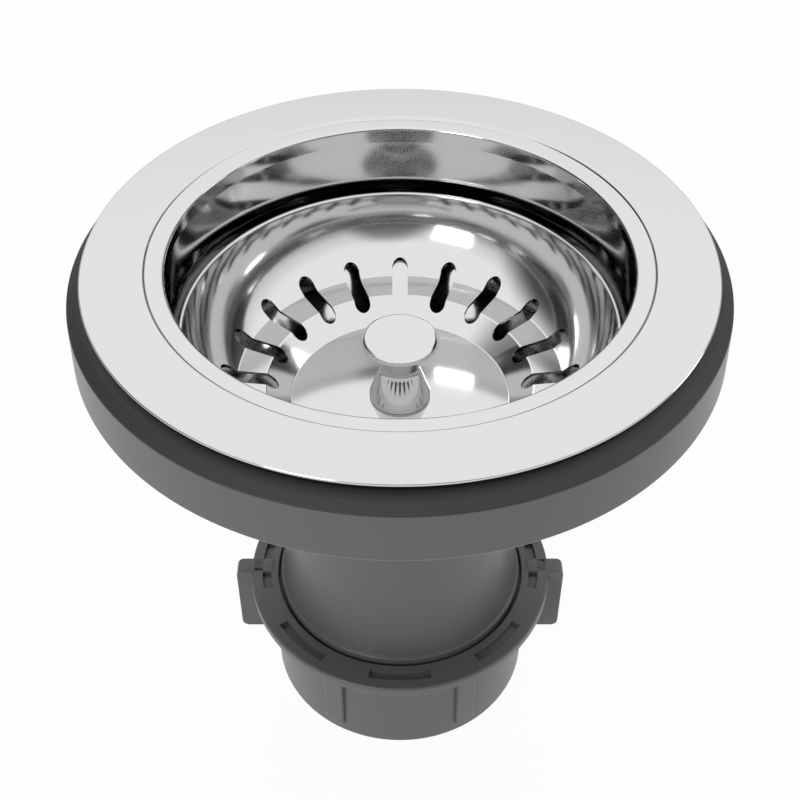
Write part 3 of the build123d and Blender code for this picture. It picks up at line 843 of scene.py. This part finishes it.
class STRAINER_OT_nut(bpy.types.Operator):
    """Model the coupling nut with its wings, ribs and slots"""
    bl_idname = "strainer.nut"
    bl_label = "Coupling nut"

    wall_radius = 28.0
    foot_radius = 28.5
    flange = (33.3, 2.5)
    lip = 4.0
    outlet_radius = 20.5
    bore_radius = 24.2
    recess = (27.2, 2.1)
    wing_height = 19.6
    wing_corner = 1.6
    rib_width = 4.6
    rib_radius = 29.3
    rib_height = 21.4
    rib_angles = (60, 120, 240, 300)
    slot_count = 8
    slot_radii = (28.9, 30.9)
    slot_angle = math.radians(25)
    slot_depth = 1.0
    slot_steps = 12
    slot_over = 1
    first_slot = math.pi / 2
    under_bend = 0.6
    foot_bend = 1.2
    rib_bend = 0.45
    wing_sink = 1
    rib_sink = 0.5

    def execute(self, context):
        under_z = NUT_TOP_Z - self.flange[1]
        piece = turned("Coupling_nut", [
            (self.recess[0], NUT_TOP_Z, FINE),
            (self.flange[0], NUT_TOP_Z, EDGE),
            (self.flange[0], under_z, self.under_bend),
            (self.wall_radius, under_z, EDGE),
            (self.foot_radius, 0.0, self.foot_bend),
            (self.outlet_radius, 0.0, FINE),
            (self.outlet_radius, self.lip, FINE),
            (self.bore_radius, self.lip, FINE),
            (self.bore_radius, NUT_TOP_Z - self.recess[1], 0.0),
            (self.recess[0], NUT_TOP_Z - self.recess[1], 0.0),
        ])
        combine(piece, self.slots(), "DIFFERENCE")
        half = context.scene.strainer_sizes.wing_thickness / MM / 2
        wing = block(
            "Wing", (self.recess[0] + self.wing_sink, -half, NUT_TOP_Z - self.wing_height),
            (reach("coupling_nut"), half, NUT_TOP_Z), 0.0)
        self.round_corners(wing, self.wing_corner)
        wings = copies_round(wing, [math.pi])
        ribs = []
        for angle in self.rib_angles:
            ribs.append(block(
                "Rib", (self.recess[0], -self.rib_width / 2, under_z - self.rib_height),
                (self.rib_radius, self.rib_width / 2, under_z + self.rib_sink),
                self.rib_bend, math.radians(angle)))
        piece = joined([piece] + wings + ribs)
        finished(piece, grey_plastic(), "nut", ["coupling_nut"])
        return {"FINISHED"}

    def round_corners(self, wing, bend):
        """Round a wing's two outer corners, and soften its other outer edges."""
        outside = reach("coupling_nut") * MM - WELD
        pick(wing)
        for offset, across in ((bend, True), (FINE, False)):
            bpy.ops.object.mode_set(mode="EDIT")
            bpy.ops.mesh.select_mode(type="EDGE")
            bpy.ops.mesh.select_all(action="DESELECT")
            bpy.ops.object.mode_set(mode="OBJECT")
            for edge in wing.data.edges:
                a, b = [wing.data.vertices[i].co for i in edge.vertices]
                if across:
                    edge.select = min(a.x, b.x) > outside and abs(a.y - b.y) > WELD
                else:
                    sideways = abs(a.y - b.y) < WELD
                    edge.select = sideways and max(a.x, b.x) > outside - 2 * bend * MM
            bpy.ops.object.mode_set(mode="EDIT")
            bpy.ops.mesh.bevel(offset=offset * MM, segments=6 if across else 2, affect="EDGES")
            bpy.ops.mesh.select_mode(type="VERT")
            bpy.ops.object.mode_set(mode="OBJECT")

    def slots(self):
        """Cutter for the shallow arc slots in the nut's top face."""
        near, far = self.slot_radii
        bpy.ops.object.select_all(action="DESELECT")
        bpy.ops.mesh.primitive_plane_add(size=1, location=((near + far) / 2 * MM, 0, NUT_TOP_Z * MM))
        bpy.context.object.scale = ((far - near) * MM, 1, 1)
        bpy.context.object.rotation_euler = (math.pi / 2, 0, 0)
        cutter = start_piece("Nut_slot")
        bpy.ops.object.mode_set(mode="OBJECT")
        low = (NUT_TOP_Z - self.slot_depth) * MM
        high = (NUT_TOP_Z + self.slot_over) * MM
        for corner in cutter.data.vertices:
            corner.co.z = low if corner.co.z < NUT_TOP_Z * MM else high
        bpy.ops.object.mode_set(mode="EDIT")
        bpy.ops.mesh.select_all(action="SELECT")
        bpy.ops.mesh.spin(
            steps=self.slot_steps, angle=self.slot_angle, center=(0, 0, 0), axis=(0, 0, 1))
        bpy.ops.mesh.select_all(action="SELECT")
        bpy.ops.mesh.normals_make_consistent(inside=False)
        bpy.ops.object.mode_set(mode="OBJECT")
        place_round(cutter, self.first_slot + self.slot_angle / 2)
        return joined(copies_round(cutter, even_turns(self.slot_count)))


class STRAINER_OT_inner(bpy.types.Operator):
    """Give the enclosed solids, whose shape is right, their finishes"""
    bl_idname = "strainer.inner"
    bl_label = "Enclosed pieces"

    def execute(self, context):
        finishes = {
            plain_steel: (
                "screw_washer", "fixing_screw", "plug_plate", "seal_washer", "stem_nut", "stem_clip"),
            brass: ("threaded_insert",),
            black_rubber: ("bowl_seal", "centre_seal", "cone_seal"),
            washer_plastic: ("slip_washer",),
        }
        for finish, names in finishes.items():
            material = finish()
            for name in names:
                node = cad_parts[name]
                node.data.materials.clear()
                node.data.materials.append(material)
        return {"FINISHED"}


class STRAINER_OT_stage(bpy.types.Operator):
    """Set up the floor, the lights, the world and the camera"""
    bl_idname = "strainer.stage"
    bl_label = "Stage"

    # The camera, in millimetres of film and metres from the point that it looks at
    lens = 59.0625
    film = 36
    nearest = 0.01
    distance = 0.260871
    elevation = math.radians(43.3747)
    target_z = 0.07864

    # The floor in metres, with room under the part for the nut's travel, and how much of the shadow shows
    floor_size = 4.0
    nut_room = 0.018
    floor_roughness = 0.8
    shadow_share = 0.05

    # Soft lamps: name, place and size in metres, power in watts, and whether reflections show them
    lamps = (
        ("Top_softbox", (0.0, 0.75, 0.75), (1.3, 0.9), 3.6, False),
        ("Left_softbox", (-0.35, -0.6, 0.35), (0.25, 0.25), 1.6, True),
        ("Right_softbox", (0.7, 0.1, 0.1), (0.2, 0.2), 0.7, True),
    )

    # Strength of the world's light on the object
    world_fill = 0.45

    # Parts of the room that only reflections show: a direction, the cosines of the angles to it at which
    # the part starts and is full, and the room's strength before and after
    walls = ((0.0, 0.0, 1.0), 0.15, 0.45, 0.2, 1.0)
    ceiling = ((0.0, 0.0, 1.0), 0.42, 0.6, 1.0, 1.24)
    dark_front = ((0.1, -0.95, 0.2), 0.9, 0.98, 1.0, 0.3)
    dark_left = ((-0.95, 0.1, 0.05), 0.7, 0.93, 1.0, 0.1)

    def execute(self, context):
        self.floor(context)
        self.world(context)
        for lamp in self.lamps:
            self.lamp(*lamp)
        self.camera(context)
        context.scene.view_settings.view_transform = "Standard"
        return {"FINISHED"}

    def only_seen(self, nodes, links):
        """1 for camera, glossy and transmission rays, 0 for light that falls on the object."""
        rays = nodes.new("ShaderNodeLightPath")
        first = nodes.new("ShaderNodeMath")
        first.operation = "MAXIMUM"
        links.new(rays.outputs["Is Camera Ray"], first.inputs[0])
        links.new(rays.outputs["Is Glossy Ray"], first.inputs[1])
        both = nodes.new("ShaderNodeMath")
        both.operation = "MAXIMUM"
        links.new(first.outputs[0], both.inputs[0])
        links.new(rays.outputs["Is Transmission Ray"], both.inputs[1])
        return both.outputs[0]

    def floor(self, context):
        """A pale floor that looks white, apart from a share of the shadow on it."""
        bpy.ops.object.select_all(action="DESELECT")
        bpy.ops.mesh.primitive_plane_add(size=self.floor_size, location=(0, 0, -self.nut_room))
        floor = bpy.context.object
        floor.name = "Floor"
        material, nodes, links, shader = new_material("Floor")
        shader.inputs["Base Color"].default_value = (*context.scene.strainer_colours.floor, 1)
        shader.inputs["Roughness"].default_value = self.floor_roughness
        shader.inputs["Specular IOR Level"].default_value = 0
        glow = nodes.new("ShaderNodeEmission")
        seen = nodes.new("ShaderNodeMath")
        seen.operation = "MULTIPLY"
        seen.inputs[1].default_value = 1 - self.shadow_share
        links.new(self.only_seen(nodes, links), seen.inputs[0])
        mix = nodes.new("ShaderNodeMixShader")
        links.new(seen.outputs[0], mix.inputs["Fac"])
        links.new(shader.outputs["BSDF"], mix.inputs[1])
        links.new(glow.outputs["Emission"], mix.inputs[2])
        output = next(n for n in nodes if n.type == "OUTPUT_MATERIAL")
        links.new(mix.outputs["Shader"], output.inputs["Surface"])
        floor.data.materials.append(material)

    def world(self, context):
        """A world that fills in the light, white to the camera and a drawn room in reflections."""
        world = bpy.data.worlds.new("Studio")
        world.use_nodes = True
        nodes, links = world.node_tree.nodes, world.node_tree.links
        nodes.clear()
        shown = nodes.new("ShaderNodeBackground")
        fill = nodes.new("ShaderNodeBackground")
        fill.inputs["Strength"].default_value = self.world_fill
        mix = nodes.new("ShaderNodeMixShader")
        output = nodes.new("ShaderNodeOutputWorld")
        links.new(self.only_seen(nodes, links), mix.inputs["Fac"])
        links.new(fill.outputs["Background"], mix.inputs[1])
        links.new(shown.outputs["Background"], mix.inputs[2])
        shown.inputs["Color"].default_value = (1, 1, 1, 1)
        fill.inputs["Color"].default_value = (1, 1, 1, 1)
        links.new(self.room(nodes, links), shown.inputs["Strength"])
        links.new(mix.outputs["Shader"], output.inputs["Surface"])
        context.scene.world = world

    def room(self, nodes, links):
        """Strength of the world: white to the camera, and darker or brighter parts in reflections."""
        place = nodes.new("ShaderNodeTexCoord")
        strength = None
        for room_part in (self.walls, self.ceiling, self.dark_front, self.dark_left):
            direction, start, full, before, after = room_part
            nearness = nodes.new("ShaderNodeVectorMath")
            nearness.operation = "DOT_PRODUCT"
            nearness.inputs[1].default_value = Vector(direction).normalized()
            links.new(place.outputs["Generated"], nearness.inputs[0])
            part = nodes.new("ShaderNodeMapRange")
            part.interpolation_type = "SMOOTHSTEP"
            part.inputs["From Min"].default_value = start
            part.inputs["From Max"].default_value = full
            part.inputs["To Min"].default_value = before
            part.inputs["To Max"].default_value = after
            links.new(nearness.outputs["Value"], part.inputs["Value"])
            if strength is None:
                strength = part.outputs["Result"]
                continue
            both = nodes.new("ShaderNodeMath")
            both.operation = "MULTIPLY"
            links.new(strength, both.inputs[0])
            links.new(part.outputs["Result"], both.inputs[1])
            strength = both.outputs[0]
        rays = nodes.new("ShaderNodeLightPath")
        white = nodes.new("ShaderNodeMix")
        links.new(rays.outputs["Is Camera Ray"], white.inputs["Factor"])
        links.new(strength, white.inputs["A"])
        white.inputs["B"].default_value = 1
        return white.outputs["Result"]

    def lamp(self, name, place, size, power, reflected):
        """A rectangular lamp aimed at the point that the camera looks at."""
        data = bpy.data.lights.new(name, "AREA")
        data.shape = "RECTANGLE"
        data.size, data.size_y = size
        data.energy = power
        lamp = bpy.data.objects.new(name, data)
        bpy.context.scene.collection.objects.link(lamp)
        lamp.location = place
        aim = Vector((0, 0, self.target_z)) - Vector(place)
        lamp.rotation_euler = aim.to_track_quat("-Z", "Y").to_euler()
        lamp.visible_camera = False
        lamp.visible_glossy = reflected

    def camera(self, context):
        """The camera, in front of the part and above it."""
        data = bpy.data.cameras.new("Camera")
        data.lens = self.lens
        data.sensor_width = self.film
        data.clip_start = self.nearest
        camera = bpy.data.objects.new("Camera", data)
        context.scene.collection.objects.link(camera)
        camera.location = (
            0, -self.distance * math.cos(self.elevation),
            self.target_z + self.distance * math.sin(self.elevation))
        camera.rotation_euler = (math.pi / 2 - self.elevation, 0, 0)
        context.scene.camera = camera


class STRAINER_PT_panel(bpy.types.Panel):
    """Buttons that model the strainer piece by piece"""
    bl_idname = "STRAINER_PT_panel"
    bl_label = "Basket strainer"
    bl_space_type = "VIEW_3D"
    bl_region_type = "UI"
    bl_category = "Strainer"

    def draw(self, context):
        for group in (context.scene.strainer_sizes, context.scene.strainer_colours):
            for name in group.__annotations__:
                self.layout.prop(group, name)
        for step in STEPS:
            self.layout.operator(step.bl_idname)


STEPS = (
    STRAINER_OT_flange, STRAINER_OT_seals, STRAINER_OT_body, STRAINER_OT_basket, STRAINER_OT_knob,
    STRAINER_OT_plug, STRAINER_OT_nut, STRAINER_OT_inner, STRAINER_OT_stage,
)


def register():
    for group in (StrainerSizes, StrainerColours) + STEPS + (STRAINER_PT_panel,):
        bpy.utils.register_class(group)
    bpy.types.Scene.strainer_sizes = bpy.props.PointerProperty(type=StrainerSizes)
    bpy.types.Scene.strainer_colours = bpy.props.PointerProperty(type=StrainerColours)


def unregister():
    del bpy.types.Scene.strainer_colours
    del bpy.types.Scene.strainer_sizes
    for group in reversed((StrainerSizes, StrainerColours) + STEPS + (STRAINER_PT_panel,)):
        bpy.utils.unregister_class(group)


def main():
    register()
    bpy.ops.strainer.flange()
    bpy.ops.strainer.seals()
    bpy.ops.strainer.body()
    bpy.ops.strainer.basket()
    bpy.ops.strainer.knob()
    bpy.ops.strainer.plug()
    bpy.ops.strainer.nut()
    bpy.ops.strainer.inner()
    bpy.ops.strainer.stage()


if __name__ == "__main__":
    main()
